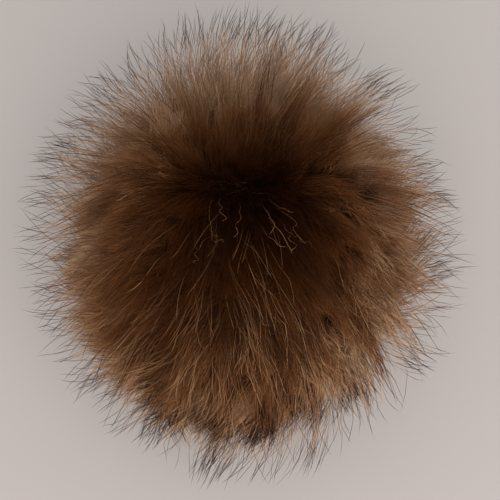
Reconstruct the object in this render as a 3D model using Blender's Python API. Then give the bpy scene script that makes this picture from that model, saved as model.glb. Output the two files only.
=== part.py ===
"""A fur pom pom lying on a table, about 150 mm across its longest hair and 108 mm high.

The real thing is one circle of long-haired pelt drawn up into a ball, so it is one solid here: a dense
underfur ball with a small flat spot where it rests, and nearly 300 three-sided locks of fur whose roots
are fused into it. The hair parts at a crown that leans away from +Z towards +Y. From there the locks lean
outwards, hang a little at the sides, and are shorter underneath, where they splay level on the floor.

Metres, +Z up. The origin is the centre of the flat spot, and the floor is at Z = 0.
"""

import math
import random

import bmesh
import bpy
from mathutils import Vector

# The ball as a whole.
CENTRE = Vector((0.0, 0.002, 0.047))
CROWN_TILT = math.radians(27.0)
CROWN = Vector((0.0, math.sin(CROWN_TILT), math.cos(CROWN_TILT)))
UP, DOWN = Vector((0.0, 0.0, 1.0)), Vector((0.0, 0.0, -1.0))

# Half sizes of the underfur ball and of the outline that the lock tips reach: across, along, above and below
# the centre. What would reach below the floor stops on it.
CORE_ACROSS, CORE_ALONG, CORE_ABOVE, CORE_BELOW = 0.0445, 0.050, 0.043, 0.0495
TIPS_ACROSS, TIPS_ALONG, TIPS_ABOVE, TIPS_BELOW = 0.071, 0.079, 0.067, 0.074

# The hollow in the fur round the crown.
DIMPLE_DEPTH, DIMPLE_WIDTH = 0.012, math.radians(24.0)

# The flat spot that the ball rests on.
FLAT_RADIUS, FLAT_SIDES = 0.0135, 14

# The corners between the locks: a golden-angle spiral over the whole ball, a little disturbed.
CORNERS, CORNER_JITTER = 150, 0.035
GOLDEN_ANGLE = math.pi * (3.0 - math.sqrt(5.0))
ROOT_GAP = 0.0006

# A lock: where its rings are along it, as shares of its length, and how much of its root's cell each one fills.
# Its length is a share of the way from the underfur to the outline, and its point strays a little.
RINGS = ((0.26, 0.88), (0.52, 0.70), (0.78, 0.40))
SHORTEST, LONGEST = 0.84, 1.0
TIP_STRAY = 0.0022
NEAR_FLOOR = 0.001

# How the fur leans: away from the crown that parts it, down at the sides under its own weight, and outwards
# underneath, where the floor splays it. Each lean has a pole, a size, and the angle from the pole of its peak.
LEANS = (
    (CROWN, math.radians(24.0), math.radians(45.0)),
    (UP, math.radians(9.0), math.radians(65.0)),
    (DOWN, math.radians(18.0), math.radians(35.0)),
)

FUR_BROWN = (0.13, 0.075, 0.042, 1.0)

random_source = random.Random(11)


def reach(direction, across, along, above, below):
    """Distance from the centre to an uneven ellipsoid along a unit direction."""
    upright = above if direction.z >= 0.0 else below
    return 1.0 / math.sqrt(
        (direction.x / across) ** 2 + (direction.y / along) ** 2 + (direction.z / upright) ** 2
    )


def above_floor(direction, distance):
    """The distance, cut short where the direction meets the floor."""
    if direction.z >= 0.0:
        return distance
    return min(distance, CENTRE.z / -direction.z)


def dimple(direction):
    """How far the hollow round the crown draws the surface in."""
    return DIMPLE_DEPTH * math.exp(-((direction.angle(CROWN) / DIMPLE_WIDTH) ** 2))


def core_distance(direction):
    distance = reach(direction, CORE_ACROSS, CORE_ALONG, CORE_ABOVE, CORE_BELOW) - dimple(direction)
    return above_floor(direction, distance)


def outline_distance(direction):
    distance = reach(direction, TIPS_ACROSS, TIPS_ALONG, TIPS_ABOVE, TIPS_BELOW) - dimple(direction)
    return above_floor(direction, distance)


def lie(root_direction, share):
    """Where fur rooted in one direction points at this share of its way out."""
    direction = root_direction.copy()
    for pole, size, peak in LEANS:
        away = direction - pole * direction.dot(pole)
        if away.length < 1e-6:
            continue
        polar = direction.angle(pole)
        lean = size * (polar / peak) * math.exp(1.0 - polar / peak) * math.cos(polar / 2.0)
        polar += share * lean
        direction = pole * math.cos(polar) + away.normalized() * math.sin(polar)
    return direction


def along_flow(root_direction, share):
    """The place of that fur. No two roots lead to one place, which keeps the locks from cutting each other."""
    direction = lie(root_direction, share)
    inner, outer = core_distance(direction), outline_distance(direction)
    return CENTRE + direction * (inner + (outer - inner) * share)


def spread_directions():
    """Unit directions of the corners between locks, with a ring of them round the flat spot."""
    flat_polar = math.pi - math.atan2(FLAT_RADIUS, CENTRE.z)
    spacing = math.sqrt(4.0 * math.pi / CORNERS)
    found = []
    for index in range(CORNERS):
        height = 1.0 - (2.0 * index + 1.0) / CORNERS
        round_angle = index * GOLDEN_ANGLE
        flat = math.sqrt(1.0 - height * height)
        direction = Vector((flat * math.cos(round_angle), flat * math.sin(round_angle), height))
        for axis in range(3):
            direction[axis] += random_source.uniform(-CORNER_JITTER, CORNER_JITTER)
        direction.normalize()
        if direction.angle(UP) < flat_polar - 0.6 * spacing:
            found.append(direction)
    for index in range(FLAT_SIDES):
        round_angle = 2.0 * math.pi * index / FLAT_SIDES
        flat = math.sin(flat_polar)
        found.append(
            Vector((flat * math.cos(round_angle), flat * math.sin(round_angle), math.cos(flat_polar)))
        )
    return found


def wrap(fur):
    """The underfur ball as a closed net of triangles. Returns the faces that carry locks."""
    corners = [fur.verts.new(direction) for direction in spread_directions()]
    ring = set(corners[-FLAT_SIDES:])
    bmesh.ops.convex_hull(fur, input=corners)
    flat_faces = [face for face in fur.faces if set(face.verts) <= ring]
    bmesh.ops.dissolve_faces(fur, faces=flat_faces)
    for corner in fur.verts:
        direction = corner.co.normalized()
        corner.co = CENTRE + direction * core_distance(direction)
    for corner in ring:
        corner.co.z = 0.0
    bmesh.ops.recalc_face_normals(fur, faces=fur.faces)
    return [face for face in fur.faces if not set(face.verts) <= ring]


def grow_lock(fur, face):
    """Extrudes one root face along the flow into a tapering lock, and draws its end to a point."""
    corners = [(vert.co - CENTRE).normalized() for vert in face.verts]
    middle = sum(corners, Vector()).normalized()
    length = random_source.uniform(SHORTEST, LONGEST)
    if along_flow(middle, LONGEST).z < NEAR_FLOOR:
        length = LONGEST
    for share, filled in RINGS:
        face = bmesh.ops.extrude_discrete_faces(fur, faces=[face])["faces"][0]
        for vert, corner in zip(face.verts, corners):
            vert.co = along_flow(middle.lerp(corner, filled).normalized(), share * length)
    point = bmesh.ops.poke(fur, faces=[face])["verts"][0]
    stray = Vector([random_source.uniform(-TIP_STRAY, TIP_STRAY) for _ in range(3)])
    point.co = along_flow(middle, length) + stray
    point.co.z = max(point.co.z, 0.0)


def fur_material():
    material = bpy.data.materials.new("fur")
    material.use_nodes = True
    shader = material.node_tree.nodes["Principled BSDF"]
    shader.inputs["Base Color"].default_value = FUR_BROWN
    shader.inputs["Roughness"].default_value = 0.85
    shader.inputs["Metallic"].default_value = 0.0
    return material


def fur_pom_pom():
    """The whole ball, as one closed solid."""
    fur = bmesh.new()
    roots = wrap(fur)
    bmesh.ops.inset_individual(fur, faces=roots, thickness=ROOT_GAP, use_even_offset=True)
    for face in roots:
        grow_lock(fur, face)
    mesh = bpy.data.meshes.new("fur_pom_pom")
    fur.to_mesh(mesh)
    fur.free()
    mesh.shade_smooth()
    mesh.set_sharp_from_angle(angle=math.radians(60.0))
    mesh.materials.append(fur_material())
    ball = bpy.data.objects.new("fur_pom_pom", mesh)
    bpy.context.scene.collection.objects.link(ball)
    print(len(roots), "locks")
    return ball


def clear_scene():
    for leftover in list(bpy.data.objects):
        bpy.data.objects.remove(leftover)


clear_scene()
fur_pom_pom()
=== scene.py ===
"""Looks of a long-haired fur pom pom: an underfur ball, a hundred thousand fine hairs, and the longer guard
hairs that gather into dark-tipped wisps.

Every hair is a closed three-sided strand, drawn to a point at both ends. Hairs flow as the solid's locks do:
away from the crown, down at the sides, and outwards underneath. They stand up more on the far side and are
brushed a little to one side. Metres, +Z up, floor at Z = 0.

A hair's length is a share of the way from the underfur to the outline. Sweep, frizz and curl are turns of
its direction from the centre, in radians. Front, left and right are as the camera sees them.
"""

import math

import bpy
import numpy as np
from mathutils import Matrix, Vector


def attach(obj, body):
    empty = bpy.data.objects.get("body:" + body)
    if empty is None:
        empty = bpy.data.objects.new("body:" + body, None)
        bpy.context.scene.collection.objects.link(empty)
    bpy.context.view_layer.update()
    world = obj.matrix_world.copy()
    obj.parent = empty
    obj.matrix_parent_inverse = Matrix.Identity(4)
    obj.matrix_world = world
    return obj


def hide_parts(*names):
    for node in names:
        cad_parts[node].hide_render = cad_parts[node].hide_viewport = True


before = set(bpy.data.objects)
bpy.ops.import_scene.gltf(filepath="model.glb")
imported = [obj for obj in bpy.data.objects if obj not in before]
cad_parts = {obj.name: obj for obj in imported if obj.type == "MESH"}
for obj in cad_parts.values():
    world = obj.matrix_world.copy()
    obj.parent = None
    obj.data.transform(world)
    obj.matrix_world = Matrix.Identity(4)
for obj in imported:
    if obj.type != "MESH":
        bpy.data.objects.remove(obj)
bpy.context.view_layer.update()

# The ball, as in the part's source: its centre, its crown, and the half sizes of its underfur and of the
# outline that the tips of the locks reach, across, along, above and below the centre.
CENTRE = np.array((0.0, 0.002, 0.047))
CROWN_TILT = math.radians(27.0)
CROWN = np.array((0.0, math.sin(CROWN_TILT), math.cos(CROWN_TILT)))
UP, DOWN = np.array((0.0, 0.0, 1.0)), np.array((0.0, 0.0, -1.0))
CORE_SIZES = (0.0445, 0.050, 0.043, 0.0495)
TIP_SIZES = (0.071, 0.079, 0.067, 0.074)
DIMPLE_DEPTH, DIMPLE_WIDTH = 0.012, math.radians(24.0)

# How the fur leans: each lean has a pole, a size, the angle from the pole of its peak and the peak's
# sharpness. On the far side the fur leans less, by this share at most.
LEANS = (
    (CROWN, math.radians(31.0), math.radians(50.0), 1.3),
    (UP, math.radians(7.0), math.radians(68.0), 1.0),
    (DOWN, math.radians(18.0), math.radians(35.0), 1.0),
)
FAR_SIDE_UPRIGHT = 0.55

# Which way the fur is brushed at the sides and in front, as turns of its tips, and the share by which the
# left side is brushed more, and the right side less.
SIDES_BRUSHED, FRONT_BRUSHED = np.array((0.0, 0.22, 0.0)), np.array((-0.14, 0.0, 0.0))
LEFT_BRUSHED_MORE = 0.4

# The lowest that the middle line of a hair and its corners go.
LOWEST_HAIR, LOWEST_CORNER = 0.0006, 0.0002

rng = np.random.default_rng(7)


# Directions and places in the fur

def unit(vectors):
    return vectors / np.maximum(np.linalg.norm(vectors, axis=-1, keepdims=True), 1e-12)


def reach(directions, sizes):
    across, along, above, below = sizes
    upright = np.where(directions[..., 2] >= 0.0, above, below)
    scaled = directions / np.stack(np.broadcast_arrays(across, along, upright), axis=-1)
    return 1.0 / np.linalg.norm(scaled, axis=-1)


def angle_from(directions, pole):
    return np.arccos(np.clip(directions @ pole, -1.0, 1.0))


def surface_distance(directions, sizes):
    """Distance from the centre to the underfur or the outline, cut short on the floor."""
    dimple = DIMPLE_DEPTH * np.exp(-((angle_from(directions, CROWN) / DIMPLE_WIDTH) ** 2))
    distance = reach(directions, sizes) - dimple
    downwards = np.minimum(directions[..., 2], -1e-9)
    to_floor = np.where(directions[..., 2] < 0.0, CENTRE[2] / -downwards, np.inf)
    return np.minimum(distance, to_floor)


def lie(directions, share):
    """Where fur rooted in these directions points at a share of its way out."""
    upright = 1.0 - FAR_SIDE_UPRIGHT * np.clip(directions[..., 1], 0.0, 1.0) ** 2
    for pole, size, peak, sharpness in LEANS:
        along = directions @ pole
        away = unit(directions - along[..., None] * pole)
        polar = angle_from(directions, pole)
        lean = size * (polar / peak * np.exp(1.0 - polar / peak)) ** sharpness * np.cos(polar / 2.0)
        polar = polar + share * lean * upright
        directions = pole * np.cos(polar)[..., None] + away * np.sin(polar)[..., None]
    return directions


def places(directions, share):
    """Points at a share of the way from the underfur to the outline, in directions that already lean."""
    inner = surface_distance(directions, CORE_SIZES)
    outer = surface_distance(directions, TIP_SIZES)
    return CENTRE + directions * (inner + (outer - inner) * share)[..., None]


def random_directions(count):
    return unit(rng.normal(size=(count, 3)))


def strewn(middles, count, spread):
    """Directions strewn round one middle, or one round each of the middles."""
    return unit(middles + rng.normal(size=(count, 3)) * spread)


def some(count, share, these, others):
    """One value for a random share of the hairs, and another for the rest."""
    return np.where(rng.random(count) < share, these, others)


# The share of hairs that crowd at the crown, where the fur parts, and how far they spread from it.
CROWDED_SHARE, CROWDED_SPREAD = 0.10, 0.35

# How much more fur crowds together in front, and how many hairs are compared with the centres at once.
FRONT_CROWDING = 0.5
COMPARED_AT_ONCE = 4000


def fur_roots(count):
    """Roots all over the ball, closer together at the crown."""
    crowded = int(count * CROWDED_SHARE)
    at_crown = strewn(CROWN, crowded, CROWDED_SPREAD)
    return np.concatenate((random_directions(count - crowded), at_crown))


def nearest(directions, centres):
    """For each direction, the number of the centre that it is nearest to."""
    found = [
        np.argmax(part @ centres.T, axis=1)
        for part in np.array_split(directions, max(1, len(directions) // COMPARED_AT_ONCE))
    ]
    return np.concatenate(found)


def gathered(centres, count, spread, unevenness):
    """Directions that crowd round some of the centres more than round others, and most of all in front."""
    in_front = 1.0 + FRONT_CROWDING * np.clip(-centres[:, 1], 0.0, 1.0)
    crowding = rng.lognormal(0.0, unevenness, len(centres)) * in_front
    picked = rng.choice(len(centres), count, p=crowding / crowding.sum())
    return strewn(centres[picked], count, spread)


# Fields and locks that give the fur its grain

# Across the crown to the right, and back from it over the far side.
CROWN_RIGHT = unit(np.cross(CROWN, UP))
CROWN_BACK = np.cross(CROWN, CROWN_RIGHT)

# The fewest streaks that a wave draws round the ball, and how much the waves slant.
FEWEST_STREAKS, STREAK_SLANT = 5, 4.0


class Sway:
    """A smooth random field over the ball that turns neighbouring hairs the same way."""

    def __init__(self, waves, fineness):
        self.ways = unit(rng.normal(size=(waves, 3))) * fineness
        self.phases = rng.uniform(0.0, 2.0 * math.pi, waves)
        self.pushes = rng.normal(size=(waves, 3)) / math.sqrt(waves)

    def at(self, directions):
        return np.sin(directions @ self.ways.T + self.phases) @ self.pushes


class Streaks:
    """A random field over the ball that changes fast round the crown and slowly away from it."""

    def __init__(self, waves, finest):
        self.rounds = rng.integers(FEWEST_STREAKS, finest, waves)
        self.slants = rng.normal(0.0, STREAK_SLANT, waves)
        self.phases = rng.uniform(0.0, 2.0 * math.pi, waves)

    def at(self, directions):
        around = np.arctan2(directions @ CROWN_RIGHT, directions @ -CROWN_BACK)
        polar = angle_from(directions, CROWN)
        waves = np.sin(around[:, None] * self.rounds + polar[:, None] * self.slants + self.phases)
        return waves.sum(axis=1) * math.sqrt(2.0 / len(self.rounds))


# Broad and fine sways of the fur: wave counts, wave numbers, and how far they turn the tips.
BROAD_SWAY, BROAD_ANGLE = Sway(24, 5.0), 0.085
FINE_SWAY, FINE_ANGLE = Sway(40, 16.0), 0.02
STREAKS = Streaks(30, 44)


class Locks:
    """The locks that the hairs gather into, each with its own length, sweep and tint."""

    def __init__(self, count, length, sweep, tint, streak_tint):
        self.middles = random_directions(count)
        self.radius = math.sqrt(4.0 / count)
        self.lengths = rng.normal(1.0, length, count)
        self.sweeps = rng.normal(size=(count, 3)) * sweep
        self.tints = rng.normal(0.0, tint, count) + streak_tint * STREAKS.at(self.middles)

    def closeness(self, roots, near):
        """1 for hairs in the middle of their lock, falling to 0 at its edge."""
        apart = np.linalg.norm(roots - self.middles[near], axis=1)
        return np.clip(1.0 - (apart / self.radius) ** 2, 0.0, 1.0)


LOCKS = Locks(850, length=0.11, sweep=0.05, tint=0.14, streak_tint=0.24)
WISPS = Locks(340, length=0.14, sweep=0.08, tint=0.12, streak_tint=0.15)


# Strands

SIDES = 3

# The UV map on which the hair's colours are drawn, along the hair and from dark hairs to pale, and how much
# of the map's height the sides of one hair take up.
HAIR_MAP = "OFBake"
STRIP = 0.006

# How far a strand's normals turn from its own sides to those of the ball, for the soft look of dense fur.
SOFTNESS = 0.65

# The powers of a hair's share that place its rings, gather it to its leader, sweep it and let it stray.
RING_POWER, GATHER_POWER, SWEEP_POWER, STRAY_POWER = 0.55, 1.3, 1.2, 1.5

# How much hairs bend halfway along, as a share of their frizz, and how their counts of waves differ.
MIDDLE_BEND = 0.6
WAVE_RANGE = (0.62, 1.38)


def steps_along(steps):
    """Shares of a strand's length at its rings and ends, closer together towards the tip."""
    return (np.arange(steps + 1) / steps) ** RING_POWER


def strand_paths(roots, leaders, lengths, steps, gather, frizz, sweep=0.0, curl=0.0, waves=1.3, start=0.12):
    """Points along each strand, steps + 1 of them, from the share start of the way out to its length.

    Strands sway with their neighbours and gather to the line of their leader towards their tips. Each strays
    its own way by the angle frizz and waves by the angle curl, about so many waves each. sweep is a turn of
    the tips that the strands of one clump share."""
    swept = BROAD_SWAY.at(leaders) * BROAD_ANGLE + FINE_SWAY.at(leaders) * FINE_ANGLE + sweep
    swept = swept + SIDES_BRUSHED * (leaders[:, :1] ** 2 * (1.0 - LEFT_BRUSHED_MORE * leaders[:, :1]))
    swept = swept + FRONT_BRUSHED * np.clip(-leaders[:, 1:2], 0.0, 1.0) ** 2
    stray = rng.normal(size=roots.shape) * frizz[:, None]
    bend = rng.normal(size=roots.shape) * frizz[:, None] * MIDDLE_BEND
    wave = rng.normal(size=roots.shape) * curl
    turns = waves * rng.uniform(*WAVE_RANGE, len(roots))
    paths = []
    for part in steps_along(steps):
        share = start + (lengths - start) * part
        toward = gather * part**GATHER_POWER
        mixed = unit(roots * (1.0 - toward)[:, None] + leaders * toward[:, None])
        pointing = lie(mixed, share)
        wander = swept * part**SWEEP_POWER + stray * part**STRAY_POWER + bend * math.sin(math.pi * part)
        wander = wander + wave * (part * np.sin(2.0 * math.pi * turns * part))[:, None]
        paths.append(places(unit(pointing + wander), share))
    paths = np.stack(paths, axis=1)
    paths[..., 2] = np.maximum(paths[..., 2], LOWEST_HAIR)
    return paths


def strand_faces(parts):
    """The triangles of one strand with its rings and ends at these parts of its length. For each triangle's
    corners, also their part of the length and their share of the way over the strand's sides."""
    rings = len(parts) - 2
    tip = rings * SIDES + 1
    last = tip - SIDES
    faces, face_u, face_v = [], [], []
    for corner in range(SIDES):
        following = (corner + 1) % SIDES
        faces.append((0, 1 + following, 1 + corner))
        face_u.append((parts[0], parts[1], parts[1]))
        face_v.append((1, following, corner))
        faces.append((last + corner, last + following, tip))
        face_u.append((parts[-2], parts[-2], parts[-1]))
        face_v.append((corner, following, 1))
        for ring in range(rings - 1):
            here, there = ring * SIDES + 1, (ring + 1) * SIDES + 1
            below, above = parts[ring + 1], parts[ring + 2]
            faces.append((here + corner, here + following, there + following))
            face_u.append((below, below, above))
            face_v.append((corner, following, following))
            faces.append((here + corner, there + following, there + corner))
            face_u.append((below, above, above))
            face_v.append((corner, following, corner))
    return np.array(faces), np.array(face_u), np.array(face_v) / (SIDES - 1.0)


def strands(name, paths, widths, profile, paleness, tones, material):
    """One mesh of closed three-sided strands along the paths, drawn to a point at both ends.

    The profile gives shares of the width at even steps along a strand. The colour map holds the place along
    the strand, times its tone, and its paleness."""
    count, rings = paths.shape[0], paths.shape[1] - 2
    parts = steps_along(rings + 1)
    radii = widths[:, None] / 2.0 * np.interp(parts[1:-1], np.linspace(0.0, 1.0, len(profile)), profile)
    along = unit(np.gradient(paths, axis=1))
    side = unit(np.cross(along, rng.normal(size=(count, 1, 3))))
    other = np.cross(along, side)
    turns = np.arange(SIDES) * 2.0 * math.pi / SIDES
    spokes = side[:, 1:-1, None, :] * np.cos(turns)[:, None]
    spokes = spokes + other[:, 1:-1, None, :] * np.sin(turns)[:, None]
    corners = paths[:, 1:-1, None, :] + spokes * radii[:, :, None, None]
    corners[..., 2] = np.maximum(corners[..., 2], LOWEST_CORNER)
    corners = corners.reshape(count, rings * SIDES, 3)
    vertices = np.concatenate((paths[:, :1], corners, paths[:, -1:]), axis=1)
    per_strand = vertices.shape[1]

    faces, face_u, face_v = strand_faces(parts)
    triangles = count * len(faces)
    indices = (np.arange(count)[:, None, None] * per_strand + faces).reshape(-1)
    u = tones[:, None, None] * face_u
    v = paleness[:, None, None] * (1.0 - STRIP) + face_v * STRIP

    mesh = bpy.data.meshes.new(name)
    mesh.vertices.add(count * per_strand)
    mesh.vertices.foreach_set("co", vertices.reshape(-1))
    mesh.loops.add(triangles * 3)
    mesh.loops.foreach_set("vertex_index", indices.astype(np.int32))
    mesh.polygons.add(triangles)
    mesh.polygons.foreach_set("loop_start", np.arange(triangles, dtype=np.int32) * 3)
    layer = mesh.uv_layers.new(name=HAIR_MAP)
    layer.uv.foreach_set("vector", np.stack((u, v), axis=-1).reshape(-1))
    mesh.update(calc_edges=True)
    mesh.shade_smooth()
    own = np.zeros((count, per_strand, 3))
    own[:, 1:-1] = spokes.reshape(count, rings * SIDES, 3)
    own[:, -1] = along[:, -1]
    own[:, 0] = -along[:, 0]
    normals = unit(own * (1.0 - SOFTNESS) + unit(vertices - CENTRE) * SOFTNESS)
    mesh.normals_split_custom_set_from_vertices(normals.reshape(-1, 3))
    mesh.materials.append(material)
    piece = bpy.data.objects.new(name, mesh)
    bpy.context.scene.collection.objects.link(piece)
    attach(piece, "root")


# Colours of the fur

# How the fur pales away from the dark hollow: the angle away and the paleness there. The near-black fur round
# the crown is partly its dark roots and partly painted shade of the hollow. The rings of like fur are centred
# on the dark pole near the crown and, further out, on the outer pole.
DARK_POLE, OUTER_POLE = unit(np.array((0.05, 0.10, 1.0))), unit(np.array((0.0, -0.16, 0.99)))
OUTER_FROM = math.radians(60.0)
PALENESS_AWAY = np.array((
    (0.0, 0.0),
    (14.0, 0.005),
    (26.0, 0.043),
    (38.0, 0.13),
    (55.0, 0.40),
    (75.0, 0.94),
    (100.0, 1.00),
))

# The share of the way out at which a hair's place sets its paleness.
SHOWN_AT = 0.6

# Paler and darker patches of the fur colour: middle, width, and how much paler. The paler patch on the far
# side is painted light and the dark patch low in front is painted shade; the other two are darker at the
# front right and front left.
PALER_AND_DARKER_PATCHES = (
    (unit(np.array((0.85, -0.45, 0.35))), math.radians(26.0), -0.10),
    (unit(np.array((-0.60, -0.80, 0.20))), math.radians(28.0), -0.20),
    # Painted light: the far side paler.
    (unit(np.array((0.05, 1.0, 0.36))), math.radians(24.0), 0.52),
    # Painted shade: darker low in front.
    (unit(np.array((0.05, -0.98, -0.12))), math.radians(25.0), -0.52),
)

# The colours from the darkest to the palest hairs, of most of the fur and of the golden hairs in it. The
# darkest, round the crown, are partly painted shade of the hollow.
SHADES = (
    (0.00, (0.016, 0.0040, 0.0006)),
    (0.06, (0.058, 0.0180, 0.0048)),
    (0.25, (0.190, 0.075, 0.028)),
    (0.50, (0.353, 0.167, 0.076)),
    (0.75, (0.580, 0.330, 0.184)),
    (1.00, (0.830, 0.560, 0.365)),
)
PALE_SHADES = (
    (0.0, (0.12, 0.050, 0.016)),
    (0.5, (0.48, 0.255, 0.120)),
    (1.0, (0.85, 0.560, 0.330)),
)

# What these are multiplied by from root to tip. A hair's tone stretches its place along: a long hair with
# the tone given here ends where its pale part does, before the dark tip.
UNDERFUR_ALONG = (
    (0.0, (0.05, 0.03, 0.02)),
    (0.5, (0.46, 0.40, 0.35)),
    (0.75, (0.76, 0.73, 0.70)),
    (1.0, (1.0, 1.0, 1.0)),
)
GUARD_ALONG = (
    (0.0, (0.04, 0.03, 0.02)),
    (0.4, (0.38, 0.34, 0.31)),
    (0.60, (0.95, 0.93, 0.90)),
    (0.73, (0.42, 0.37, 0.35)),
    (0.85, (0.11, 0.095, 0.095)),
    (1.0, (0.025, 0.025, 0.030)),
)
WITHOUT_DARK_TIP = 0.61

# The matted skin of the ball: its colours, near-black as dark roots and partly as painted shade deep in the
# fur, how fine and detailed its grain is, and the height of its bumps.
SKIN_SHADES = (
    (0.3, (0.010, 0.0038, 0.0013)),
    (0.7, (0.034, 0.0140, 0.0056)),
)
SKIN_GRAIN, SKIN_DETAIL, SKIN_BUMPS, SKIN_ROUGHNESS = 260.0, 5.0, 0.001, 0.95


def paleness_and_painted_light_at(roots):
    """From 0, the near-black fur at the crown, partly dark roots and partly painted shade of the hollow, to
    1, the palest fur, by where the hair shows. Some of the patches add painted light on the far side and
    painted shade low in front.
    """
    shown = lie(roots, SHOWN_AT)
    from_crown = angle_from(shown, DARK_POLE)
    outer = np.clip(from_crown / OUTER_FROM, 0.0, 1.0)
    away = from_crown * (1.0 - outer) + angle_from(shown, OUTER_POLE) * outer
    pale = np.interp(away, np.radians(PALENESS_AWAY[:, 0]), PALENESS_AWAY[:, 1])
    for middle, width, extra in PALER_AND_DARKER_PATCHES:
        pale = pale + extra * np.exp(-((angle_from(shown, middle) / width) ** 2))
    return pale


def tinted(pale, tints, spread):
    """Paleness changed by the tint of each hair's lock and a little more by its own."""
    return np.clip(pale * np.exp(tints + rng.normal(0.0, spread, len(pale))), 0.0, 1.0)


def ramp_node(tree, stops):
    ramp = tree.nodes.new("ShaderNodeValToRGB")
    elements = ramp.color_ramp.elements
    while len(elements) > 1:
        elements.remove(elements[-1])
    elements[0].position = stops[0][0]
    elements[0].color = (*stops[0][1], 1.0)
    for position, colour in stops[1:]:
        elements.new(position).color = (*colour, 1.0)
    return ramp


def fur_material(name, shades, along, roughness, gloss):
    """Colour by paleness from the shades, darkened from root to tip by the colours along."""
    material = bpy.data.materials.new(name)
    material.use_nodes = True
    tree = material.node_tree
    shader = tree.nodes["Principled BSDF"]
    shader.inputs["Roughness"].default_value = roughness
    shader.inputs["Specular IOR Level"].default_value = gloss
    place = tree.nodes.new("ShaderNodeUVMap")
    place.uv_map = HAIR_MAP
    split = tree.nodes.new("ShaderNodeSeparateXYZ")
    shade = ramp_node(tree, shades)
    darkening = ramp_node(tree, along)
    mix = tree.nodes.new("ShaderNodeMix")
    mix.data_type = "RGBA"
    mix.blend_type = "MULTIPLY"
    mix.inputs["Factor"].default_value = 1.0
    tree.links.new(place.outputs["UV"], split.inputs["Vector"])
    tree.links.new(split.outputs["Y"], shade.inputs["Fac"])
    tree.links.new(split.outputs["X"], darkening.inputs["Fac"])
    tree.links.new(shade.outputs["Color"], mix.inputs["A"])
    tree.links.new(darkening.outputs["Color"], mix.inputs["B"])
    tree.links.new(mix.outputs["Result"], shader.inputs["Base Color"])
    return material


def skin_material():
    """The matted dark underfur under the hairs, near-black partly as painted shade deep in the fur."""
    material = bpy.data.materials.new("matted_underfur")
    material.use_nodes = True
    tree = material.node_tree
    shader = tree.nodes["Principled BSDF"]
    shader.inputs["Roughness"].default_value = SKIN_ROUGHNESS
    shader.inputs["Specular IOR Level"].default_value = 0.0
    coordinates = tree.nodes.new("ShaderNodeTexCoord")
    noise = tree.nodes.new("ShaderNodeTexNoise")
    noise.inputs["Scale"].default_value = SKIN_GRAIN
    noise.inputs["Detail"].default_value = SKIN_DETAIL
    ramp = ramp_node(tree, SKIN_SHADES)
    bump = tree.nodes.new("ShaderNodeBump")
    bump.inputs["Distance"].default_value = SKIN_BUMPS
    tree.links.new(coordinates.outputs["Object"], noise.inputs["Vector"])
    tree.links.new(noise.outputs["Fac"], ramp.inputs["Fac"])
    tree.links.new(noise.outputs["Fac"], bump.inputs["Height"])
    tree.links.new(ramp.outputs["Color"], shader.inputs["Base Color"])
    tree.links.new(bump.outputs["Normal"], shader.inputs["Normal"])
    return material


# Underfur

# The ball's surface, as a share of the way out, and the height, fineness and number of its lumps.
SKIN_SHARE, LUMP_HEIGHT, LUMP_FINENESS, LUMPS = 0.14, 0.02, 18.0, 40

UNDERFUR_PIECES, UNDERFUR_HAIRS, UNDERFUR_STEPS = 5, 20000, 2
UNDERFUR_WIDTHS, UNDERFUR_PROFILE = (0.00010, 0.00016), (0.9, 1.0, 0.8)
UNDERFUR_TINT, UNDERFUR_TONES = 0.08, (0.85, 1.0)

# Lengths: short fur, a little uneven, and so much longer at most in the middle of locks, by a beta
# distribution. On the far side short fur is shorter, locks are longer, and fewer hairs reach that far.
SHORT_FUR, UNEVEN_FUR, LONGER_IN_LOCKS, FAR_CONTRAST = 0.33, 0.10, 0.50, 0.65
LOCK_BETA, FAR_BETA = (1.3, 2.3), (0.3, 0.5)

# It is shorter in front and at the sides, and longer at the front left than at the front right.
FRONT_SHORTER, SIDES_SHORTER = 0.34, 0.12
LEFT_LONGER, LEFT_EXTRA = 0.65, 0.25

# The share of loose hairs, how far they and the others gather at most, and how much less on the far side.
LOOSE_UNDERFUR, LOOSE_GATHER, LOCK_GATHER, FAR_LOOSER = 0.35, 0.2, 0.75, 0.3

# The share of frizzy hairs, their frizz, and the frizz of the others.
UNDERFUR_FRIZZ = (0.04, 0.10, 0.018)


def underfur_ball():
    """The matted inner ball, a little lumpy, that shows only between the hairs."""
    bpy.ops.mesh.primitive_ico_sphere_add(subdivisions=6, radius=1.0)
    piece = bpy.context.object
    piece.name = "underfur_ball"
    mesh = piece.data
    directions = np.empty(len(mesh.vertices) * 3)
    mesh.vertices.foreach_get("co", directions)
    directions = unit(directions.reshape(-1, 3))
    lumps = np.sin(directions @ random_directions(LUMPS).T * LUMP_FINENESS).sum(axis=1)
    points = places(directions, SKIN_SHARE + LUMP_HEIGHT * lumps / math.sqrt(LUMPS))
    points[:, 2] = np.maximum(points[:, 2], 0.0)
    mesh.vertices.foreach_set("co", points.reshape(-1))
    mesh.shade_smooth()
    mesh.materials.append(skin_material())
    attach(piece, "root")
    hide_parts("fur_pom_pom")


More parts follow.
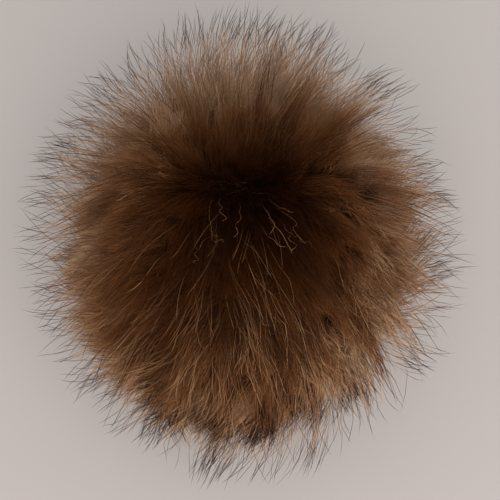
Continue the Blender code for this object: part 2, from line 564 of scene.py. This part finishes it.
def underfur():
    """Soft dense fur in pointed locks."""
    material = fur_material("underfur_hair", SHADES, UNDERFUR_ALONG, roughness=0.8, gloss=0.0)
    for number in range(UNDERFUR_PIECES):
        count = UNDERFUR_HAIRS
        roots = fur_roots(count)
        near = nearest(roots, LOCKS.middles)
        close = LOCKS.closeness(roots, near)
        x, y = roots[:, 0], roots[:, 1]
        far, front = np.clip(y, 0.0, 1.0) ** 2, np.clip(-y, 0.0, 1.0) ** 2
        lengths = SHORT_FUR * (1.0 - FAR_CONTRAST * far) + UNEVEN_FUR * rng.random(count)
        longer = LONGER_IN_LOCKS * (1.0 + FAR_CONTRAST * far) * LOCKS.lengths[near]
        spread = rng.beta(LOCK_BETA[0] - FAR_BETA[0] * far, LOCK_BETA[1] + FAR_BETA[1] * far)
        lengths += longer * close * spread
        lengths *= 1.0 - FRONT_SHORTER * front - SIDES_SHORTER * x**2
        lengths *= 1.0 + (LEFT_LONGER - LEFT_EXTRA * x) * x * np.minimum(y, 0.0)
        gather = some(count, LOOSE_UNDERFUR, LOOSE_GATHER, LOCK_GATHER) * rng.random(count)
        gather *= 1.0 - FAR_LOOSER * far
        frizz = some(count, *UNDERFUR_FRIZZ)
        sweep = LOCKS.sweeps[near]
        paths = strand_paths(roots, LOCKS.middles[near], lengths, UNDERFUR_STEPS, gather, frizz, sweep)
        widths = rng.uniform(*UNDERFUR_WIDTHS, count)
        paleness = tinted(paleness_and_painted_light_at(roots), LOCKS.tints[near], UNDERFUR_TINT)
        tones = rng.uniform(*UNDERFUR_TONES, count)
        strands(f"underfur_{number + 1}", paths, widths, UNDERFUR_PROFILE, paleness, tones, material)


# Guard hairs

GUARD_PIECES, GUARD_HAIRS, LOOSE_GUARD_HAIRS, GUARD_STEPS = 2, 6250, 0.30, 5
GUARD_WIDTHS, FAR_FINER = (0.00012, 0.00021), 0.25
GUARD_PROFILE = (0.6, 0.7, 0.8, 0.9, 1.0, 0.8)
GUARD_TINT, GUARD_CURL, GUARD_FRIZZ = 0.12, 0.004, (0.06, 0.06, 0.012)

# How far hairs root from the middle of their wisp, how unevenly wisps fill, and how far hairs gather.
WISP_SPREAD, WISP_UNEVENNESS = 0.055, 0.5
LOOSE_GATHERS, WISP_GATHERS = (0.0, 0.5), (0.4, 0.9)

# Lengths: the shortest hairs, how much longer others are by a beta distribution, and where all are cut short.
GUARD_SHORTEST, GUARD_LONGER, GUARD_BETA, LONGEST_GUARD_HAIR = 0.49, 0.59, (1.5, 2.7), 1.22

# Hairs are longer on the long side and shorter opposite, at the sides, in front and at the front right.
LONG_SIDE, LONG_SIDE_LONGER, OPPOSITE_SHORTER = np.array((0.5, 0.85, 0.0)), 0.05, 0.16
GUARD_SIDES_SHORTER, GUARD_FRONT_SHORTER, FRONT_RIGHT_SHORTER = 0.07, 0.16, 0.20

# Where hairs have dark tips: all of them low in front, and a share of them where the fur is palest.
LOW_FROM, LOW_OVER = 0.52, 0.25
DARK_FROM, DARK_OVER, DARK_SHARE, FAR_FEWER = 0.65, 0.30, 0.75, 0.35

# The least and greatest tones of dark-tipped hairs, and how much they rise low in front.
DARK_TONES, LOW_TONES_RISE = (0.78, 1.05), (0.15, 0.2)


def guard_hairs(material):
    """Long hairs of uneven length and sweep, with dark tips out towards the rim. Most gather into wisps."""
    for number in range(GUARD_PIECES):
        count = GUARD_HAIRS
        loose = int(count * LOOSE_GUARD_HAIRS)
        loose_roots = fur_roots(loose)
        wisp_roots = gathered(WISPS.middles, count - loose, WISP_SPREAD, WISP_UNEVENNESS)
        roots = np.concatenate((loose_roots, wisp_roots))
        near = nearest(roots, WISPS.middles)
        x, y = roots[:, 0], roots[:, 1]
        far, front = np.clip(y, 0.0, 1.0), np.clip(-y, 0.0, 1.0)
        lengths = (GUARD_SHORTEST + GUARD_LONGER * rng.beta(*GUARD_BETA, count)) * WISPS.lengths[near]
        outer = roots @ LONG_SIDE
        longer = LONG_SIDE_LONGER * np.clip(outer, 0.0, 1.0)
        shorter = OPPOSITE_SHORTER * np.clip(-outer, 0.0, 1.0)
        lengths *= 1.0 + longer - shorter
        lengths *= 1.0 - GUARD_SIDES_SHORTER * x**2 - GUARD_FRONT_SHORTER * front**2
        lengths *= 1.0 + FRONT_RIGHT_SHORTER * np.maximum(x, 0.0) * np.minimum(y, 0.0)
        lengths = np.minimum(lengths, LONGEST_GUARD_HAIR)
        apart, together = rng.uniform(*LOOSE_GATHERS, count), rng.uniform(*WISP_GATHERS, count)
        gather = np.where(np.arange(count) < loose, apart, together)
        frizz = some(count, *GUARD_FRIZZ)
        leaders, sweep = WISPS.middles[near], WISPS.sweeps[near]
        paths = strand_paths(roots, leaders, lengths, GUARD_STEPS, gather, frizz, sweep, GUARD_CURL)
        widths = rng.uniform(*GUARD_WIDTHS, count) * (1.0 - FAR_FINER * far)
        pale = paleness_and_painted_light_at(roots)
        low = np.clip((-y - LOW_FROM) / LOW_OVER, 0.0, 1.0)
        palest = np.clip((pale - DARK_FROM) / DARK_OVER, 0.0, 1.0)
        chance = np.maximum(palest * (DARK_SHARE - FAR_FEWER * far), low)
        dark_tipped = rng.random(count) < chance
        least, greatest = (tone + rise * low for tone, rise in zip(DARK_TONES, LOW_TONES_RISE))
        tones = np.where(dark_tipped, rng.uniform(least, greatest), WITHOUT_DARK_TIP)
        paleness = tinted(pale, WISPS.tints[near], GUARD_TINT)
        strands(f"guard_hairs_{number + 1}", paths, widths, GUARD_PROFILE, paleness, tones, material)


# Pale hairs, in clumps of which a share lies round a middle in front of the crown

PALE_HAIRS, PALE_CLUMPS, CLUMPS_IN_FRONT = 900, 150, 0.65
PALE_MIDDLE, PALE_SPREAD = unit(np.array((0.0, -0.55, 0.65))), 0.50
CLUMP_SPREAD, CLUMP_UNEVENNESS, CLUMP_SWEEP = 0.07, 0.45, 0.06
PALE_SHORTEST, PALE_LONGER, PALE_BETA, PALE_FRONT_SHORTER = 0.60, 0.32, (2.0, 2.0), 0.12
PALE_GATHERS, PALE_FRIZZ, PALE_CURL, PALE_START = (0.1, 0.7), (0.08, 0.08, 0.025), 0.015, 0.2
PALE_WIDTHS, PALE_PROFILE = (0.00010, 0.00016), (0.6, 0.9, 1.0, 0.8, 0.5)
PALEST_LEAST, PALER_BY, PALE_TINT = 0.20, 1.7, 0.30

# The pale hairs this close to the crown are this short, so that they stay hidden in the dark hollow.
SUNK_WITHIN, SUNK_HAIR = math.radians(20.0), 0.30


def pale_hairs(material):
    """Fine golden hairs in loose bunches, most of them in front of the crown."""
    count = PALE_HAIRS
    thick = int(PALE_CLUMPS * CLUMPS_IN_FRONT)
    near_front = strewn(PALE_MIDDLE, thick, PALE_SPREAD)
    clumps = np.concatenate((near_front, random_directions(PALE_CLUMPS - thick)))
    roots = gathered(clumps, count, CLUMP_SPREAD, CLUMP_UNEVENNESS)
    near = nearest(roots, clumps)
    leaders, sweep = clumps[near], (rng.normal(size=(PALE_CLUMPS, 3)) * CLUMP_SWEEP)[near]
    lengths = PALE_SHORTEST + PALE_LONGER * rng.beta(*PALE_BETA, count)
    lengths *= 1.0 - PALE_FRONT_SHORTER * np.clip(-roots[:, 1], 0.0, 1.0)
    lengths[angle_from(roots, CROWN) < SUNK_WITHIN] = SUNK_HAIR
    gather = rng.uniform(*PALE_GATHERS, count)
    frizz = some(count, *PALE_FRIZZ)
    paths = strand_paths(
        roots, leaders, lengths, GUARD_STEPS, gather, frizz, sweep, PALE_CURL, start=PALE_START
    )
    widths = rng.uniform(*PALE_WIDTHS, count)
    paleness = tinted(PALEST_LEAST + PALER_BY * paleness_and_painted_light_at(roots), 0.0, PALE_TINT)
    tones = np.full(count, WITHOUT_DARK_TIP)
    strands("pale_hairs", paths, widths, PALE_PROFILE, paleness, tones, material)


# Crown hairs

# Tufts of kinked hairs round the hollow: the way from the crown to them, turned from the right towards the
# back, how far they are from it, as a tangent, and how many hairs.
CROWN_TUFTS = np.array((
    (168.0, 0.30, 4),
    (190.0, 0.32, 6),
    (204.0, 0.38, 6),
    (250.0, 0.42, 6),
    (294.0, 0.42, 6),
    (325.0, 0.50, 8),
    (356.0, 0.36, 2),
    (100.0, 0.62, 2),
))
CROWN_STEPS, CROWN_SPREAD, CROWN_GATHER, CROWN_FRIZZ = 14, 0.05, 0.4, 0.03
CROWN_CURL, CROWN_WAVES, CROWN_START = 0.010, 3.0, 0.40
CROWN_LENGTHS, CROWN_WIDTHS, CROWN_PALENESS = (0.60, 0.76), (0.00008, 0.00013), (0.15, 0.6)


def crown_hairs(material):
    """A few small tufts of pale kinked hairs round the hollow."""
    around = np.radians(CROWN_TUFTS[:, :1])
    ways = np.cos(around) * CROWN_RIGHT + np.sin(around) * CROWN_BACK
    tufts = unit(CROWN + CROWN_TUFTS[:, 1:2] * ways)
    leaders = np.repeat(tufts, CROWN_TUFTS[:, 2].astype(int), axis=0)
    count = len(leaders)
    roots = strewn(leaders, count, CROWN_SPREAD)
    lengths = rng.uniform(*CROWN_LENGTHS, count)
    gather, frizz = np.full(count, CROWN_GATHER), np.full(count, CROWN_FRIZZ)
    paths = strand_paths(
        roots, leaders, lengths, CROWN_STEPS, gather, frizz, 0.0, CROWN_CURL, CROWN_WAVES, CROWN_START
    )
    widths = rng.uniform(*CROWN_WIDTHS, count)
    paleness = rng.uniform(*CROWN_PALENESS, count)
    tones = np.full(count, WITHOUT_DARK_TIP)
    strands("crown_hairs", paths, widths, PALE_PROFILE, paleness, tones, material)


# Stray hairs, of which a share stands out on one side

STRAY_HAIRS, STRAYS_ON_SIDE = 1250, 0.5
STRAY_SIDE, STRAY_SPREAD = unit(np.array((-0.35, 0.9, 0.15))), 0.55
STRAY_FRIZZ, STRAY_CURL, STRAY_WIDTHS, STRAY_TINT = (0.02, 0.07), 0.01, (0.00013, 0.00019), 0.3

# Lengths: the shortest, how much longer by a beta distribution, what of that is left on top and how much
# comes on towards the rim, and how much of it goes in front.
STRAY_SHORTEST, STRAY_LONGER, STRAY_BETA = 0.94, 0.55, (1.5, 1.4)
LONGER_ON_TOP, LONGER_AT_RIM, NOT_IN_FRONT = 0.30, 0.70, 0.8


def stray_hairs(material):
    """Single hairs that stand out past the rest."""
    count = STRAY_HAIRS
    more = int(count * STRAYS_ON_SIDE)
    on_side = strewn(STRAY_SIDE, more, STRAY_SPREAD)
    roots = np.concatenate((random_directions(count - more), on_side))
    flat, front = 1.0 - np.clip(roots[:, 2], 0.0, 1.0), np.clip(-roots[:, 1], 0.0, 1.0)
    longer = STRAY_LONGER * rng.beta(*STRAY_BETA, count)
    lengths = STRAY_SHORTEST + longer * (LONGER_ON_TOP + LONGER_AT_RIM * flat) * (1.0 - NOT_IN_FRONT * front)
    frizz = rng.uniform(*STRAY_FRIZZ, count)
    paths = strand_paths(roots, roots, lengths, GUARD_STEPS, np.zeros(count), frizz, curl=STRAY_CURL)
    widths = rng.uniform(*STRAY_WIDTHS, count)
    paleness = tinted(paleness_and_painted_light_at(roots), 0.0, STRAY_TINT)
    tones = np.ones(count)
    strands("stray_hairs", paths, widths, GUARD_PROFILE, paleness, tones, material)


# Rim tufts

# Dark-tipped tufts at the rim: the way they point as the camera sees it, turned from the right towards its
# up direction, how far their tips reach, and how many hairs.
RIM_TUFTS = np.array((
    (11.0, 1.06, 30),
    (19.0, 0.98, 14),
    (45.0, 1.14, 40),
    (71.0, 1.08, 18),
    (96.0, 1.12, 14),
    (112.0, 1.16, 16),
    (139.0, 1.18, 16),
    (156.0, 1.20, 38),
    (168.0, 1.16, 20),
    (227.0, 0.94, 26),
    (243.0, 0.92, 22),
    (267.0, 0.96, 40),
    (300.0, 0.90, 18),
    (322.0, 0.98, 26),
    (342.0, 0.98, 34),
))
RIM_RIGHT, RIM_UP = np.array((1.0, 0.0, 0.0)), np.array((0.0, 0.96, 0.28))
RIM_SPREAD, RIM_LENGTHS, RIM_GATHERS = 0.06, (0.86, 1.20), (0.2, 0.8)
RIM_FRIZZ, RIM_CURL, RIM_WIDTHS = (0.01, 0.04), 0.006, (0.00013, 0.00020)
RIM_TINT, RIM_TONES = 0.15, (0.95, 1.15)

# How often the roots are moved on to where their tips point at the rim.
RIM_SEARCHES = 12


def rim_tufts(material):
    """Tufts of long hairs with near-black tips that stand out past the dense fur."""
    around = np.radians(RIM_TUFTS[:, :1])
    rim = np.cos(around) * RIM_RIGHT + np.sin(around) * RIM_UP
    tufts = rim
    for _ in range(RIM_SEARCHES):
        tufts = unit(tufts + rim - lie(tufts, 1.0))
    counts = RIM_TUFTS[:, 2].astype(int)
    leaders = np.repeat(tufts, counts, axis=0)
    count = len(leaders)
    roots = strewn(leaders, count, RIM_SPREAD)
    lengths = np.repeat(RIM_TUFTS[:, 1], counts) * rng.uniform(*RIM_LENGTHS, count)
    gather, frizz = rng.uniform(*RIM_GATHERS, count), rng.uniform(*RIM_FRIZZ, count)
    paths = strand_paths(roots, leaders, lengths, GUARD_STEPS, gather, frizz, curl=RIM_CURL)
    widths = rng.uniform(*RIM_WIDTHS, count)
    paleness = tinted(paleness_and_painted_light_at(roots), 0.0, RIM_TINT)
    tones = rng.uniform(*RIM_TONES, count)
    strands("rim_tufts", paths, widths, GUARD_PROFILE, paleness, tones, material)


def long_hairs():
    guard_hair = fur_material("guard_hair", SHADES, GUARD_ALONG, roughness=0.6, gloss=0.03)
    pale_hair = fur_material("pale_hair", PALE_SHADES, GUARD_ALONG, roughness=0.5, gloss=0.10)
    guard_hairs(guard_hair)
    pale_hairs(pale_hair)
    crown_hairs(pale_hair)
    stray_hairs(guard_hair)
    rim_tufts(guard_hair)


# Stage, light and camera

FLOOR_SIZE, FLOOR_COLOUR, FLOOR_ROUGHNESS = 3.0, (0.53, 0.493, 0.480, 1.0), 0.8
STUDIO_COLOUR, STUDIO_STRENGTH = (1.0, 0.97, 0.95, 1.0), 0.73
KEY_PLACE, KEY_SIZE, KEY_POWER, KEY_COLOUR = (0.12, -0.50, 0.62), 0.9, 4.3, (1.0, 0.96, 0.93)

# The camera looks at the aim from this far away, and the frame is this wide there.
CAMERA_ELEVATION = math.radians(74.0)
CAMERA_DISTANCE = 0.46
FRAME_WIDTH = 0.170
AIM = Vector((0.002, 0.002, 0.047))
SENSOR_WIDTH_MM = 36.0
NEAR_CLIP, FAR_CLIP = 0.01, 10.0


def floor():
    bpy.ops.mesh.primitive_plane_add(size=FLOOR_SIZE)
    plane = bpy.context.object
    plane.name = "floor"
    material = bpy.data.materials.new("pale_floor")
    material.use_nodes = True
    shader = material.node_tree.nodes["Principled BSDF"]
    shader.inputs["Base Color"].default_value = FLOOR_COLOUR
    shader.inputs["Roughness"].default_value = FLOOR_ROUGHNESS
    plane.data.materials.append(material)


def soft_key():
    data = bpy.data.lights.new("soft_key", "AREA")
    data.size = KEY_SIZE
    data.energy = KEY_POWER
    data.color = KEY_COLOUR
    light = bpy.data.objects.new("soft_key", data)
    light.location = KEY_PLACE
    light.rotation_mode = "QUATERNION"
    light.rotation_quaternion = (Vector(CENTRE) - Vector(KEY_PLACE)).to_track_quat("-Z", "Y")
    bpy.context.scene.collection.objects.link(light)


def studio():
    world = bpy.data.worlds.new("studio")
    world.use_nodes = True
    background = world.node_tree.nodes["Background"]
    background.inputs["Color"].default_value = STUDIO_COLOUR
    background.inputs["Strength"].default_value = STUDIO_STRENGTH
    bpy.context.scene.world = world


def camera():
    data = bpy.data.cameras.new("camera")
    data.sensor_width = SENSOR_WIDTH_MM
    data.lens = SENSOR_WIDTH_MM * CAMERA_DISTANCE / FRAME_WIDTH
    data.clip_start, data.clip_end = NEAR_CLIP, FAR_CLIP
    view = bpy.data.objects.new("camera", data)
    back = Vector((0.0, -math.cos(CAMERA_ELEVATION), math.sin(CAMERA_ELEVATION)))
    view.location = AIM + back * CAMERA_DISTANCE
    view.rotation_mode = "QUATERNION"
    view.rotation_quaternion = (-back).to_track_quat("-Z", "Y")
    bpy.context.scene.collection.objects.link(view)
    bpy.context.scene.camera = view


bpy.context.scene.view_settings.view_transform = "Standard"
underfur_ball()
underfur()
long_hairs()
floor()
studio()
soft_key()
camera()
